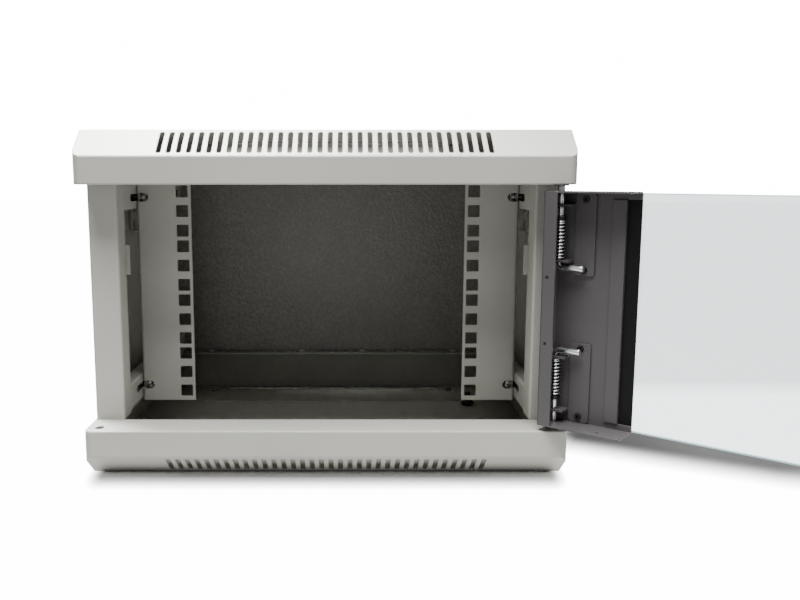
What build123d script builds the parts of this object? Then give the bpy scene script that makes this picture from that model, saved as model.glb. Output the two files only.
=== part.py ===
"""Small wall mount network cabinet, 10-inch rack pattern, four units high, glass door open.

Frame: millimetres, +Z up, +Y towards the wall, the door side faces -Y. The origin is on the
resting surface at the middle of the body in plan. Every part is built in its final place.
Right and lower parts are drawn, left and upper ones are their mirror images.
The door group is built in a door frame first (x along the door from the hinge axis, y out of
the door's front face, z up) and then placed at the photographed opening angle.
"""
import math
import os

from build123d import *

# Rack pattern
UNIT = 44.45                    # one rack unit
UNITS = 4                       # usable height in rack units
UNIT_SPARE = 0.2                # extra clear height between the covers
COLUMN_PITCH = 236.525          # distance between the two columns of square holes
RACK_OPENING = 222.25           # clear width between the two rails
SQUARE = 9.7                    # square hole for a cage nut
SQUARE_R = 0.7                  # its rounded corners
HOLE_FIRST = 6.35               # from a unit border to its first hole
HOLE_STEP = 15.875              # between the three holes of a unit

# Sheet gauges and folds
SHEET = 1.2                     # covers, posts, panels, door profiles
RAIL_SHEET = 1.5
GLASS = 4.0
TAPE = 0.6
BEND_R = 0.8                    # inner radius of a folded edge
PAST = 1.0                      # how far a cut runs past the piece that it cuts
NEAR = 0.1                      # an edge this near to a plane counts as lying in it

# Rails
RAIL_FACE = 43.775              # width of a rail's face
RAIL_BACK = 91.9                # rail faces behind the front of the covers
RAIL_GAP = 0.3                  # sliding gap beside a channel
RAIL_INTO = 1.9                 # rail ends reach this far into the covers' openings
RAIL_FLANGE = 19.0
RAIL_SCREW_Y = 10.0             # screw axis behind the rail's face
SCREW_D = 5.0
SCREW_RUN = 0.05                # radial clearance of a screw in its rail
SCREW_HEAD = (9.0, 3.6)         # diameter and height
SCREW_DOME = 1.4                # rounding of the head
SCREW_PAST = 6.5                # screw end beyond the channel's web
WASHER = (10.4, 1.0)
NUT = (8.0, 4.0)                # across flats and height
NUT_FLANGE = (10.5, 1.0)
NOTCH = (9.6, 7.0)              # notch in the rail's outer edge at each screw
NOTCH_FLANGE = 4.5              # how deep the notch cuts into the flange
RECESS = (0.5, 2.4, 1.6)        # screw cross recess: half width, half length, depth

# Posts
POST_W = 21.8
POST_D = 20.5
TAB_H = 22.6                    # keeper tab for the lock

# Covers
DEPTH = 280.0
COVER_H = 39.0                  # height of each cover
COVER_OVER = 1.2                # how far a cover stands out past the body's sides
FACE_H = 20.0                   # upright front face of a cover
SLOPE_RUN = 23.5                # how far the sloped vent face leans back
COVER_R = 6.0                   # rounded upright front corners of a cover
FOLD_R = 2.6                    # rounded long folds of a cover
LIP = 29.5                      # cover lip in front of the posts
RIM_SIDE = 20.5                 # width of the rim along the sides
RIM_REAR = 12.0                 # width of the rim along the rear wall

# Vent slots
VENTS = 34
VENT_PITCH = 7.06
VENT_W = 3.7
VENT_LEN = 24.4

# Side channels
CHANNEL_H = 20.5
CHANNEL_LEG = 11.0
CHANNEL_LAP = 12.0              # how far a channel laps behind the post
SLOT_H = 5.8                    # long slot of a channel
SLOT_UP = 11.2                  # slot axis above the cover rim
SLOT_FRONT = 74.0               # slot's front end behind the front of the covers
SLOT_REAR = 18.0                # slot's rear end before the rear wall
FOOT_GAP = 0.3                  # round a post's foot and the rear panel's flange

# Rear panel
RETURN_D = 20.0                 # side returns of the rear panel
WALL_INSET = 25.8               # wall holes from the body's sides
WALL_EDGES = (23.8, 20.2)       # wall holes from the lower and the upper cover
WALL_HOLE = 7.0

# Side panels and latches
PANEL_GAP = 0.3
PANEL_TOP_GAP = 1.0
PANEL_FOLD = 8.0
LATCH_W = 22.0
LATCH_BACK = 153.0              # latch axis behind the front of the covers
LATCH_SHEET = 1.5
LATCH_GAP = 0.3                 # to the panel
LATCH_DROP = 5.0                # top of the latch's wide part below the upper cover
LATCH_LEN = 38.0
LATCH_R = 5.0
LATCH_TRAVEL = 7.0
LATCH_SPARE = (1.6, 0.6)        # guide slots longer and wider than the travel and the pins
LATCH_PIN = 3.2                 # shoulder rivets that guide the latch
LATCH_PINS = (6.0, 19.0)        # their places below the latch's shoulder
LATCH_PIN_HEAD = (6.0, 1.0)
FINGER = (6.4, 8.0)             # finger hole: diameter and place above the lower end
FINGER_TAB = (12.0, 5.0, 1.5)   # folded tab: width, depth, thickness
TAB_UP = 1.0                    # tab above the latch's lower end
TONGUE_W = 13.0
TONGUE_UP = 5.0                 # above the underside of the cover rim
TONGUE_RUN = 1.0                # free play of the tongue in the rim's slot

# Door
OPEN_ANGLE = 139.8              # photographed opening, measured from closed
HINGE_INSET = 9.5               # hinge axis from the covers' side
HINGE_BACK = 9.0                # hinge axis behind the covers' front
DOOR_GAP = 4.4                  # between the door and each cover
DOOR_EDGE = 6.5                 # from the hinge axis to the profile's side wall
FLOOR_Y = 7.2                   # inner face of the profile floor, in front of the axis
DOOR_LIP_Y = -14.5              # inner lip of the profile, behind the axis
DOOR_LIP = 10.6
PROFILE_W = 62.0                # a profile with the ends of its flanges
HEM_BACK = 10.0                 # hemmed edge from the ends of the flanges
HEM_W = 9.7
HEM_SHORT = 5.5                 # hem and notch stop this far inside the profile's ends
HEM_GAP = 0.3
LOCK_HEM = 0.0                  # the lock profile's hem lies at its very edge
GLASS_SHORT = 1.0               # glass is this much shorter at each end
GLASS_IN = 0.5                  # and this much narrower at each side
GLASS_R = 2.0
GLASS_BEVEL = 0.4
TAPE_IN = 2.0                   # tape inside the profile's outer edges
TAPE_OPEN = 0.2                 # tape inside the ends of the flanges
SCREW_HOLE = 3.5                # spare hole in a door flange
SCREW_HOLE_AT = (37.0, -8.0)
LIP_HOLE = 2.6                  # two small holes in the door's inner lip
LIP_HOLE_AT = (-1.8, 24.0)

# Hinge pins, in the door frame and measured from the cabinet's mid height
PIN_D = 5.0
PIN_RUN = 0.08                  # radial running clearance in the guides and bushings
PIN_REACH = 7.0                 # how far a pin enters a cover
PIN_BEND = 4.0                  # bend radius of the handle
PIN_BEVEL = 0.8
HANDLE_Z = 30.0
HANDLE_LEN = 18.8
SPRING_R = 3.7
SPRING_WIRE = 1.1
SPRING_TURNS = 11
SPRING_END = 64.0
COLLAR_T = 1.2
COLLAR_OVER = 0.5               # collar beyond the spring
HUB = (7.6, 1.4)                # collar's hub: diameter and height
LUG_Z = (34.2, 73.8)            # near faces of the two guide lugs
LUG_T = 1.5
LUG_OUT = 4.3                   # lug beyond the pin axis
LUG_R = 3.2                     # rounded lug corner
PLATE_A = (8.7, 24.1)
PLATE_Z = (24.5, 83.0)
PLATE_T = 1.5
PLATE_R = 2.5
BRACKET_RIVETS = (28.5, 78.5)
BUSH = (7.0, 10.4, 2.6, 0.8)    # bushing: body and flange diameter, depth, flange height

# Lock
LOCK_BESIDE = 0.8               # gap between the lock's nut and the profile's hem
LOCK_UP = 31.3                  # lock axis above the cabinet's mid height
LOCK_D = 18.0
LOCK_FACE = (5.0, 2.4)          # face wider than the barrel, and its height
LOCK_BACK = -11.0               # rear end of the barrel
LOCK_RUN = 0.2                  # radial clearance of the barrel in the profile
LOCK_IN_GLASS = 0.6             # radial clearance of the barrel in the glass
LOCK_IN_TAPE = 1.0              # radial clearance of the barrel in the tape
LOCK_BEVEL = 0.8
LOCK_NUT = (25.0, 3.0)
CORE_D = 11.0
CORE_RUN = 0.1                  # radial clearance of the core in the barrel
CORE_OUT = 0.3                  # core beyond the barrel at both ends
KEY_SLOT = (1.2, 6.8, 6.0)      # width, height, depth
CAM_SQUARE = 6.4
CAM_HOOK = 42.0                 # how far the cam's hook lies behind the hinge axis
CAM_TAB_GAP = 0.5               # from the hook to the keeper tab
CAM_DROP = 10.0                 # arm of the cam below the lock axis
CAM_REACH = 18.2
CAM_LAP = 2.6                   # how far the hook laps behind the keeper tab
CAM_CROWN = 0.5                 # half of the flat left on the cam's rounded end
CAM_W = 13.0
CAM_T = 2.0
CAM_SCREW = (9.0, 2.0)

# Cable entry, one in the floor and one in the roof
ENTRY_SIDE = 46.5               # entry's ends from the rim
ENTRY_REAR = 5.0                # entry's rear edge from the rear wall
ENTRY_D = 51.0
PLATE_SIDE = 18.0               # plate beyond the entry's ends
PLATE_FRONT = 6.0               # plate in front of the entry
CABLE_GAP = 12.5                # gap left open behind the plate
ENTRY_SCREW = (11.0, 24.0)      # from the entry's ends and from the rear wall
SMALL_SCREW = (3.1, 6.0, 1.6)   # shank, head and head height
SMALL_HOLE = 3.2

# Earth point
STUD_IN = 23.5                  # stud from the side rim
STUD_BACK = 76.0                # stud from the rear wall
STUD_D = 6.0
STUD_UP = 12.8                  # stud above the floor sheet
STUD_FOOT = (9.0, 1.5)
STUD_BEVEL = 0.7
EARTH_WASHER = (12.5, 1.7)
EARTH_NUT = (10.0, 5.0)

# Rivets
RIVET_D = 3.2
RIVET_HEAD = (6.0, 1.1)
RIVET_TAIL = (4.6, 1.2)
PLATE_RIVET = (5.0, 1.0)
RIVET_DIMPLE = (2.4, 0.8)       # hollow end of a guide bracket rivet: diameter and depth
FOOT_BACK = 10.0                # rivets of a post foot behind its face
FOOT_SIDE = 6.5                 # and inside its sides
SEAM_BACK = 7.0                 # seam rivets before the rear wall
SEAM_SIDE = 29.5                # outer seam rivets inside the side rims
SEAM_MID = 31.5                 # inner seam rivets from the middle

# Planes and places that follow
OPENING_H = UNIT * UNITS + UNIT_SPARE
HEIGHT = OPENING_H + 2 * COVER_H
MID_Z = HEIGHT / 2
TOP_Z = HEIGHT - COVER_H
FRONT_Y = -DEPTH / 2
REAR_Y = DEPTH / 2
POST_Y = FRONT_Y + LIP
POST_REAR = POST_Y + POST_D
RAIL_Y = FRONT_Y + RAIL_BACK
RAIL_OUT = RACK_OPENING / 2 + RAIL_FACE
WEB_X = RAIL_OUT + RAIL_GAP
POST_IN = WEB_X - SHEET
HALF_W = POST_IN + POST_W
COVER_X = HALF_W + COVER_OVER
RIM_X = COVER_X - RIM_SIDE
SCREW_Z = COVER_H + SLOT_UP
POST_RIVETS = (POST_IN + FOOT_SIDE, HALF_W - FOOT_SIDE)
SEAM_RIVETS = (SEAM_SIDE - RIM_X, -SEAM_MID, SEAM_MID, RIM_X - SEAM_SIDE)
ENTRY_X = RIM_X - ENTRY_SIDE
LATCH_Y = FRONT_Y + LATCH_BACK
LATCH_TOP = TOP_Z - LATCH_DROP
LATCH_X = HALF_W - SHEET - LATCH_GAP
HINGE_X = COVER_X - HINGE_INSET
HINGE_Y = FRONT_Y + HINGE_BACK
DOOR_LOW = COVER_H + DOOR_GAP
DOOR_HIGH = TOP_Z - DOOR_GAP
DOOR_W = 2 * (HINGE_X + DOOR_EDGE)
DOOR_BACK = FLOOR_Y + SHEET
DOOR_FACE = DOOR_BACK + TAPE + GLASS
LOCK_HEM_END = DOOR_W - DOOR_EDGE - PROFILE_W + LOCK_HEM + HEM_W
LOCK_A = LOCK_HEM_END + LOCK_BESIDE + LOCK_NUT[0] / 2
LOCK_IN = HINGE_X + POST_IN - LOCK_A
TAB_OUT = LOCK_IN - CAM_REACH + CAM_LAP
LOCK_Z = MID_Z + LOCK_UP
DOOR_PLACE = Location((HINGE_X, HINGE_Y, 0), (0, 0, OPEN_ANGLE - 180.0))
NODES = {}


def slab(x0, x1, y0, y1, z0, z1):
    """Box between two corners, given in any order."""
    return Pos((x0 + x1) / 2, (y0 + y1) / 2, (z0 + z1) / 2) * Box(abs(x1 - x0), abs(y1 - y0), abs(z1 - z0))


def rod_z(x, y, z0, z1, d):
    """Upright cylinder."""
    return Pos(x, y, (z0 + z1) / 2) * Cylinder(d / 2, abs(z1 - z0))


def rod_x(x0, x1, y, z, d):
    """Cylinder across the cabinet."""
    return Pos((x0 + x1) / 2, y, z) * Rot(0, 90, 0) * Cylinder(d / 2, abs(x1 - x0))


def rod_y(x, y0, y1, z, d):
    """Cylinder in the depth direction."""
    return Pos(x, (y0 + y1) / 2, z) * Rot(90, 0, 0) * Cylinder(d / 2, abs(y1 - y0))


def folded(points, sheet=SHEET):
    """Section of a folded sheet, from the points of its middle line."""
    return trace(FilletPolyline(*points, radius=BEND_R + sheet / 2), sheet)


def rounded(box, chosen, radius):
    """Box with some of its edges rounded; chosen tells by an edge's middle whether it is one."""
    return fillet([e for e in box.edges() if chosen(e.center())], radius)


def cross_recess(head_y, head_z, x0, x1):
    """Cross recess in a screw head whose axis lies across the cabinet."""
    width, reach, _ = RECESS
    cut = slab(x0, x1, head_y - reach, head_y + reach, head_z - width, head_z + width)
    return cut + slab(x0, x1, head_y - width, head_y + width, head_z - reach, head_z + reach)


def mirror_x(part):
    """Copy on the other side of the middle plane."""
    return mirror(part, about=Plane.YZ)


def flip_z(part):
    """Copy on the other side of the cabinet's mid height."""
    return mirror(part, about=Plane.XY.offset(MID_Z))


def rivet(x, y):
    """Rivet through a foot or flange that stands on the bottom cover's rim."""
    body = rod_z(x, y, COVER_H - SHEET - RIVET_TAIL[1], COVER_H + SHEET, RIVET_D)
    body += rod_z(x, y, COVER_H + SHEET, COVER_H + SHEET + RIVET_HEAD[1], RIVET_HEAD[0])
    return body + rod_z(x, y, COVER_H - SHEET - RIVET_TAIL[1], COVER_H - SHEET, RIVET_TAIL[0])


# Covers

def cover_form(inset):
    """Form of the bottom cover, shrunk on every side by an inset."""
    drop = COVER_H - FACE_H
    lean = math.hypot(SLOPE_RUN, drop)
    y0, y1 = FRONT_Y + inset, REAR_Y - inset
    face_end = drop + inset * (lean - drop) / SLOPE_RUN
    foot = FRONT_Y + SLOPE_RUN + inset * (lean - SLOPE_RUN) / drop
    top, half = COVER_H - inset, COVER_X - inset
    outline = Polyline((y0, top), (y0, face_end), (foot, inset), (y1, inset), (y1, top), close=True)
    body = extrude(Plane.YZ * make_face(outline), half, both=True)
    folds = [e for e in body.edges() if e.length > half and e.center().Y < foot + NEAR
             and e.center().Z < top - NEAR]

    def front_corner(middle):
        """True for the two upright edges at the front."""
        return middle.Y < y0 + NEAR and abs(middle.X) > half - NEAR

    plan = rounded(slab(-half, half, y0, y1, inset, top), front_corner, COVER_R - inset)
    return fillet(folds, FOLD_R - inset) & plan


def cover():
    """Bottom cover: folded tray with a sloped vent face, a wide front lip and a rim."""
    body = cover_form(0.0)
    lip_edges = [e for e in body.edges() if e.center().Z > COVER_H - NEAR and e.center().Y < REAR_Y - SHEET]
    body = fillet(lip_edges, COVER_OVER)
    body -= cover_form(SHEET)
    body -= slab(-RIM_X, RIM_X, POST_Y, REAR_Y - RIM_REAR, COVER_H - 2 * SHEET, COVER_H + PAST)
    angle = math.degrees(math.atan2(COVER_H - FACE_H, SLOPE_RUN))
    middle = Location((0, FRONT_Y + SLOPE_RUN / 2, (COVER_H - FACE_H) / 2), (-angle, 0, 0))
    cutter = extrude(Rot(0, 0, 90) * SlotOverall(VENT_LEN, VENT_W), 3 * SHEET, both=True)
    body -= [middle * Pos((i - (VENTS - 1) / 2) * VENT_PITCH, 0, 0) * cutter for i in range(VENTS)]
    body -= slab(-ENTRY_X, ENTRY_X, REAR_Y - ENTRY_REAR - ENTRY_D, REAR_Y - ENTRY_REAR, -PAST, 2 * SHEET)
    low, high = COVER_H - 2 * SHEET, COVER_H + PAST
    slot_x = LATCH_X - LATCH_SHEET / 2
    reach = TONGUE_W / 2 + TONGUE_RUN
    for side in (-1, 1):
        screw_x = side * (ENTRY_X + ENTRY_SCREW[0])
        body -= rod_z(screw_x, REAR_Y - ENTRY_SCREW[1], -PAST, 2 * SHEET, SMALL_HOLE)
        body -= rod_z(side * HINGE_X, HINGE_Y, low, high, BUSH[0])
        body -= slab(side * (slot_x - LATCH_SHEET), side * (slot_x + LATCH_SHEET),
                     LATCH_Y - reach, LATCH_Y + reach, low, high)
        for x in POST_RIVETS:
            body -= rod_z(side * x, POST_Y + FOOT_BACK, low, high, RIVET_D)
    for x in SEAM_RIVETS:
        body -= rod_z(x, REAR_Y - SEAM_BACK, low, high, RIVET_D)
    return body


def entry_plate():
    """Plate over the cable entry in the bottom cover, leaving the rear gap free."""
    half = ENTRY_X + PLATE_SIDE
    front = REAR_Y - ENTRY_REAR - ENTRY_D - PLATE_FRONT
    plate = slab(-half, half, front, REAR_Y - ENTRY_REAR - CABLE_GAP, SHEET, 2 * SHEET)
    for side in (-1, 1):
        plate -= rod_z(side * (ENTRY_X + ENTRY_SCREW[0]), REAR_Y - ENTRY_SCREW[1], 0, 3 * SHEET, SMALL_HOLE)
    return plate


def entry_screws():
    """Two screws that hold the entry plate."""
    shank, head, high = SMALL_SCREW
    width, reach, deep = RECESS
    out = []
    for side in (-1, 1):
        x, y, z = side * (ENTRY_X + ENTRY_SCREW[0]), REAR_Y - ENTRY_SCREW[1], 2 * SHEET
        screw = rod_z(x, y, SHEET / 2, z, shank) + rod_z(x, y, z, z + high, head)
        screw -= slab(x - reach, x + reach, y - width, y + width, z + high / 2, z + high + deep)
        screw -= slab(x - width, x + width, y - reach, y + reach, z + high / 2, z + high + deep)
        out.append(screw)
    return Compound(out)


def bushing():
    """Flanged hinge bushing in the lower lip, on the side where the door hangs."""
    body, flange, deep, high = BUSH
    low = rod_z(HINGE_X, HINGE_Y, COVER_H - deep, COVER_H, body)
    low += rod_z(HINGE_X, HINGE_Y, COVER_H, COVER_H + high, flange)
    return low - rod_z(HINGE_X, HINGE_Y, COVER_H - 2 * deep, COVER_H + 2 * high, PIN_D + 2 * PIN_RUN)


# Frame

def post():
    """Right front post: U section with feet and a keeper tab for the lock."""
    half = SHEET / 2
    path = [(POST_IN + half, POST_REAR), (POST_IN + half, POST_Y + half),
            (HALF_W - half, POST_Y + half), (HALF_W - half, POST_REAR)]
    body = Pos(0, 0, COVER_H) * extrude(folded(path), TOP_Z - COVER_H)
    for z in (COVER_H, TOP_Z - SHEET):
        foot = slab(POST_IN + half, HALF_W - half, POST_Y + SHEET, POST_REAR, z, z + SHEET)
        body += foot
        for x in POST_RIVETS:
            body -= rod_z(x, POST_Y + FOOT_BACK, z - PAST, z + SHEET + PAST, RIVET_D)
    body += slab(POST_IN - TAB_OUT, POST_IN + half, POST_REAR - SHEET, POST_REAR,
                 LOCK_Z - TAB_H / 2, LOCK_Z + TAB_H / 2)
    return body


def post_rivets():
    """Eight rivets through the post feet and the cover rims."""
    low = [rivet(side * x, POST_Y + FOOT_BACK) for side in (-1, 1) for x in POST_RIVETS]
    return Compound(low + [flip_z(one) for one in low])


def channel():
    """Right lower side channel: C section with one long slot for the rail screws."""
    half = SHEET / 2
    y0, y1 = POST_REAR - CHANNEL_LAP, REAR_Y - SHEET
    z0, z1 = COVER_H, COVER_H + CHANNEL_H
    path = [(WEB_X + CHANNEL_LEG, z0 + half), (WEB_X + half, z0 + half),
            (WEB_X + half, z1 - half), (WEB_X + CHANNEL_LEG, z1 - half)]
    body = extrude(Plane.XZ.offset(-y1) * folded(path), y1 - y0)
    outside, over_foot = WEB_X + CHANNEL_LEG + PAST, z0 + SHEET + FOOT_GAP
    legs_front, flange = POST_REAR + FOOT_GAP, REAR_Y - RIM_REAR - FOOT_GAP
    body -= slab(WEB_X + SHEET, outside, y0 - PAST, legs_front, z0 - PAST, z1 + PAST)
    body -= slab(WEB_X - PAST, outside, y0 - PAST, legs_front, z0 - PAST, over_foot)
    body -= slab(WEB_X - PAST, outside, flange, y1 + PAST, z0 - PAST, over_foot)
    front, rear = FRONT_Y + SLOT_FRONT, REAR_Y - SLOT_REAR
    slot = Plane.YZ * Pos((front + rear) / 2, SCREW_Z) * SlotOverall(rear - front, SLOT_H)
    return body - Pos(WEB_X - PAST, 0, 0) * extrude(slot, SHEET + 2 * PAST)


def rear_panel():
    """Rear panel with side returns, flanged top and bottom edges and wall holes."""
    half = SHEET / 2
    path = [(-HALF_W + half, REAR_Y - RETURN_D), (-HALF_W + half, REAR_Y - half),
            (HALF_W - half, REAR_Y - half), (HALF_W - half, REAR_Y - RETURN_D)]
    body = Pos(0, 0, COVER_H) * extrude(folded(path), TOP_Z - COVER_H)
    for z in (COVER_H, TOP_Z - SHEET):
        body += slab(-HALF_W + half, HALF_W - half, REAR_Y - RIM_REAR, REAR_Y - half, z, z + SHEET)
        for x in SEAM_RIVETS:
            body -= rod_z(x, REAR_Y - SEAM_BACK, z - PAST, z + SHEET + PAST, RIVET_D)
    for side in (-1, 1):
        for z in (COVER_H + WALL_EDGES[0], TOP_Z - WALL_EDGES[1]):
            body -= rod_y(side * (HALF_W - WALL_INSET), REAR_Y - 2 * SHEET, REAR_Y + PAST, z, WALL_HOLE)
    return body


def seam_rivets():
    """Rivets through the rear panel's flanges and the cover rims."""
    low = [rivet(x, REAR_Y - SEAM_BACK) for x in SEAM_RIVETS]
    return Compound(low + [flip_z(one) for one in low])


def side_panel():
    """Right side panel: shallow pan with a gap for the latch and two rivet holes."""
    x0, y0, y1 = HALF_W - PANEL_FOLD, POST_REAR + PANEL_GAP, REAR_Y - RETURN_D - PANEL_GAP
    z0, z1 = COVER_H, TOP_Z - PANEL_TOP_GAP

    def outer(middle):
        """True for the edges round the panel's outer face."""
        return middle.X > x0 + PANEL_FOLD / 2 + NEAR

    body = rounded(slab(x0, HALF_W, y0, y1, z0, z1), outer, BEND_R + SHEET)
    body -= rounded(slab(x0 - PANEL_FOLD, HALF_W - SHEET, y0 + SHEET, y1 - SHEET, z0 + SHEET, z1 - SHEET),
                    outer, BEND_R)
    reach = LATCH_W / 2 + TONGUE_RUN
    body -= slab(x0 - PAST, HALF_W - SHEET, LATCH_Y - reach, LATCH_Y + reach, z1 - 2 * SHEET, z1 + PAST)
    for drop in LATCH_PINS:
        body -= rod_x(HALF_W - 2 * SHEET, HALF_W + PAST, LATCH_Y, LATCH_TOP - drop, LATCH_PIN)
    return body


def latch():
    """Right latch: flat slide with a finger hole, guide slots, a finger tab and a tongue."""
    low, tip = LATCH_TOP - LATCH_LEN, TOP_Z + TONGUE_UP
    face = Pos(LATCH_Y, LATCH_TOP - LATCH_LEN / 2) * RectangleRounded(LATCH_W, LATCH_LEN, LATCH_R)
    face += Pos(LATCH_Y, (LATCH_TOP - LATCH_R + tip) / 2) * Rectangle(TONGUE_W, tip - LATCH_TOP + LATCH_R)
    face -= Pos(LATCH_Y, low + FINGER[1]) * Circle(FINGER[0] / 2)
    slot = Rot(0, 0, 90) * SlotOverall(LATCH_TRAVEL + LATCH_PIN + LATCH_SPARE[0], LATCH_PIN + LATCH_SPARE[1])
    for drop in LATCH_PINS:
        face -= Pos(LATCH_Y, LATCH_TOP - drop + LATCH_TRAVEL / 2) * slot
    body = Pos(LATCH_X - LATCH_SHEET, 0, 0) * extrude(Plane.YZ * face, LATCH_SHEET)
    wide, deep, thick = FINGER_TAB
    return body + slab(LATCH_X - LATCH_SHEET - deep, LATCH_X - LATCH_SHEET / 2,
                       LATCH_Y - wide / 2, LATCH_Y + wide / 2, low + TAB_UP, low + TAB_UP + thick)


def latch_rivets():
    """Two shoulder rivets that guide the right latch."""
    inner = LATCH_X - LATCH_SHEET - LATCH_GAP
    out = []
    for drop in LATCH_PINS:
        z = LATCH_TOP - drop
        body = rod_x(inner, HALF_W - LATCH_GAP / 2, LATCH_Y, z, LATCH_PIN)
        out.append(body + rod_x(inner - LATCH_PIN_HEAD[1], inner, LATCH_Y, z, LATCH_PIN_HEAD[0]))
    return Compound(out)


# Rails

def hole_heights():
    """Heights of the twelve square holes of a rail."""
    start = MID_Z - UNIT * UNITS / 2
    return [start + u * UNIT + HOLE_FIRST + k * HOLE_STEP for u in range(UNITS) for k in range(3)]


def rail():
    """Right rack rail: wide face with square holes and a flange along the channels."""
    half = RAIL_SHEET / 2
    z0, z1 = COVER_H - RAIL_INTO, TOP_Z + RAIL_INTO
    path = [(RACK_OPENING / 2, RAIL_Y + half), (RAIL_OUT - half, RAIL_Y + half),
            (RAIL_OUT - half, RAIL_Y + RAIL_FLANGE)]
    body = Pos(0, 0, z0) * extrude(folded(path, RAIL_SHEET), z1 - z0)
    hole = extrude(Plane.XZ * RectangleRounded(SQUARE, SQUARE, SQUARE_R), 2 * RAIL_SHEET, both=True)
    body -= [Pos(COLUMN_PITCH / 2, RAIL_Y + half, z) * hole for z in hole_heights()]
    slot = Plane.XZ * SlotOverall(2 * NOTCH[0], NOTCH[1])
    for z in (SCREW_Z, HEIGHT - SCREW_Z):
        body -= Pos(RAIL_OUT, RAIL_Y + NOTCH_FLANGE, z) * extrude(slot, NOTCH_FLANGE + PAST)
        body -= rod_x(RAIL_OUT - 2 * RAIL_SHEET, RAIL_OUT + PAST, RAIL_Y + RAIL_SCREW_Y, z,
                      SCREW_D + 2 * SCREW_RUN)
    return body


def rail_screws():
    """Two domed screws of the right rail with their washers, heads inside."""
    y = RAIL_Y + RAIL_SCREW_Y
    seat = RAIL_OUT - RAIL_SHEET
    under = seat - WASHER[1]
    tip = under - SCREW_HEAD[1]
    out = []
    for z in (SCREW_Z, HEIGHT - SCREW_Z):
        head = rod_x(tip, under, y, z, SCREW_HEAD[0])
        head = fillet(head.edges().sort_by(Axis.X)[0], SCREW_DOME)
        screw = head + rod_x(under, seat, y, z, WASHER[0])
        screw += rod_x(under, WEB_X + SHEET + SCREW_PAST, y, z, SCREW_D)
        out.append(screw - cross_recess(y, z, tip - PAST, tip + RECESS[2]))
    return Compound(out)


def rail_nuts():
    """Flanged nuts behind the channel webs."""
    y = RAIL_Y + RAIL_SCREW_Y
    x = WEB_X + SHEET + RAIL_GAP
    out = []
    for z in (SCREW_Z, HEIGHT - SCREW_Z):
        hexagon = Plane.YZ * Pos(y, z) * RegularPolygon(NUT[0] / 2, 6, major_radius=False)
        nut = Pos(x + NUT_FLANGE[1], 0, 0) * extrude(hexagon, NUT[1])
        nut += rod_x(x, x + NUT_FLANGE[1], y, z, NUT_FLANGE[0])
        out.append(nut - rod_x(x - PAST, x + 2 * NUT[1], y, z, SCREW_D))
    return Compound(out)


# Earth point

def earth_parts():
    """Threaded stud welded to the floor, the toothed washer (drawn plain) and the nut."""
    x, y = RIM_X - STUD_IN, REAR_Y - STUD_BACK
    foot = SHEET + STUD_FOOT[1]
    seat = foot + EARTH_WASHER[1]
    stud = rod_z(x, y, SHEET, SHEET + STUD_UP, STUD_D) + rod_z(x, y, SHEET, foot, STUD_FOOT[0])
    stud = chamfer(stud.faces().sort_by(Axis.Z)[-1].edges(), STUD_BEVEL)
    bore = rod_z(x, y, 0, 2 * STUD_UP, STUD_D)
    washer = rod_z(x, y, foot, seat, EARTH_WASHER[0]) - bore
    nut = Pos(x, y, seat) * extrude(RegularPolygon(EARTH_NUT[0] / 2, 6, major_radius=False), EARTH_NUT[1])
    return stud, washer, nut - bore


# Door, in the door frame

def profile(start, end, outer, hem, hem_edge):
    """Folded door profile: floor, side wall, inner lip, end flanges and a hemmed edge.

    start and end bound it along the door and outer is the one with the side wall; the hem
    reaches from its folded edge to hem_edge.
    """
    inward = 1 if outer == start else -1
    z0, z1 = DOOR_LOW, DOOR_HIGH
    opened = end if outer == start else start
    quarter = (FLOOR_Y - DOOR_LIP_Y) / 4

    def folds(middle):
        """True for the edges between walls that are folded from one another."""
        from_middle = middle.Y - (DOOR_LIP_Y + FLOOR_Y) / 2
        by_floor = from_middle > quarter and abs(middle.X - opened) > SHEET
        by_lip = from_middle < -quarter and abs(middle.X - outer) < 2 * SHEET
        return by_floor or by_lip

    body = rounded(slab(start, end, DOOR_LIP_Y, DOOR_BACK, z0, z1), folds, BEND_R + SHEET)
    body -= rounded(slab(outer + inward * SHEET, opened + inward * PROFILE_W, DOOR_LIP_Y + SHEET, FLOOR_Y,
                         z0 + SHEET, z1 - SHEET), folds, BEND_R)
    body -= slab(outer + inward * DOOR_LIP, opened + inward * PAST, DOOR_LIP_Y - PAST, FLOOR_Y - 2 * SHEET,
                 z0 + SHEET, z1 - SHEET)
    body -= slab(hem_edge, opened + inward * PAST, FLOOR_Y - 2 * SHEET, DOOR_BACK + PAST,
                 z0 + HEM_SHORT, z1 - HEM_SHORT)
    strip = slab(hem, hem_edge, FLOOR_Y - SHEET, FLOOR_Y, z0 + HEM_SHORT + HEM_GAP, z1 - HEM_SHORT - HEM_GAP)
    return body + strip


def hinge_profile():
    """Hinge side profile of the door with the pin holes and the bracket rivet holes."""
    hem_edge = PROFILE_W - DOOR_EDGE - HEM_BACK
    body = profile(-DOOR_EDGE, PROFILE_W - DOOR_EDGE, -DOOR_EDGE, hem_edge - HEM_W, hem_edge)
    for z in (DOOR_LOW, DOOR_HIGH - SHEET):
        body -= rod_z(0, 0, z - PAST, z + SHEET + PAST, PIN_D + 2 * PIN_RUN)
        body -= rod_z(*SCREW_HOLE_AT, z - PAST, z + SHEET + PAST, SCREW_HOLE)
    for side in (-1, 1):
        z = MID_Z + side * LIP_HOLE_AT[1]
        body -= rod_y(LIP_HOLE_AT[0], DOOR_LIP_Y - PAST, DOOR_LIP_Y + SHEET + PAST, z, LIP_HOLE)
        for z in BRACKET_RIVETS:
            body -= rod_y(sum(PLATE_A) / 2, FLOOR_Y - PAST, DOOR_BACK + PAST, MID_Z + side * z, RIVET_D)
    return body


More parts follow.
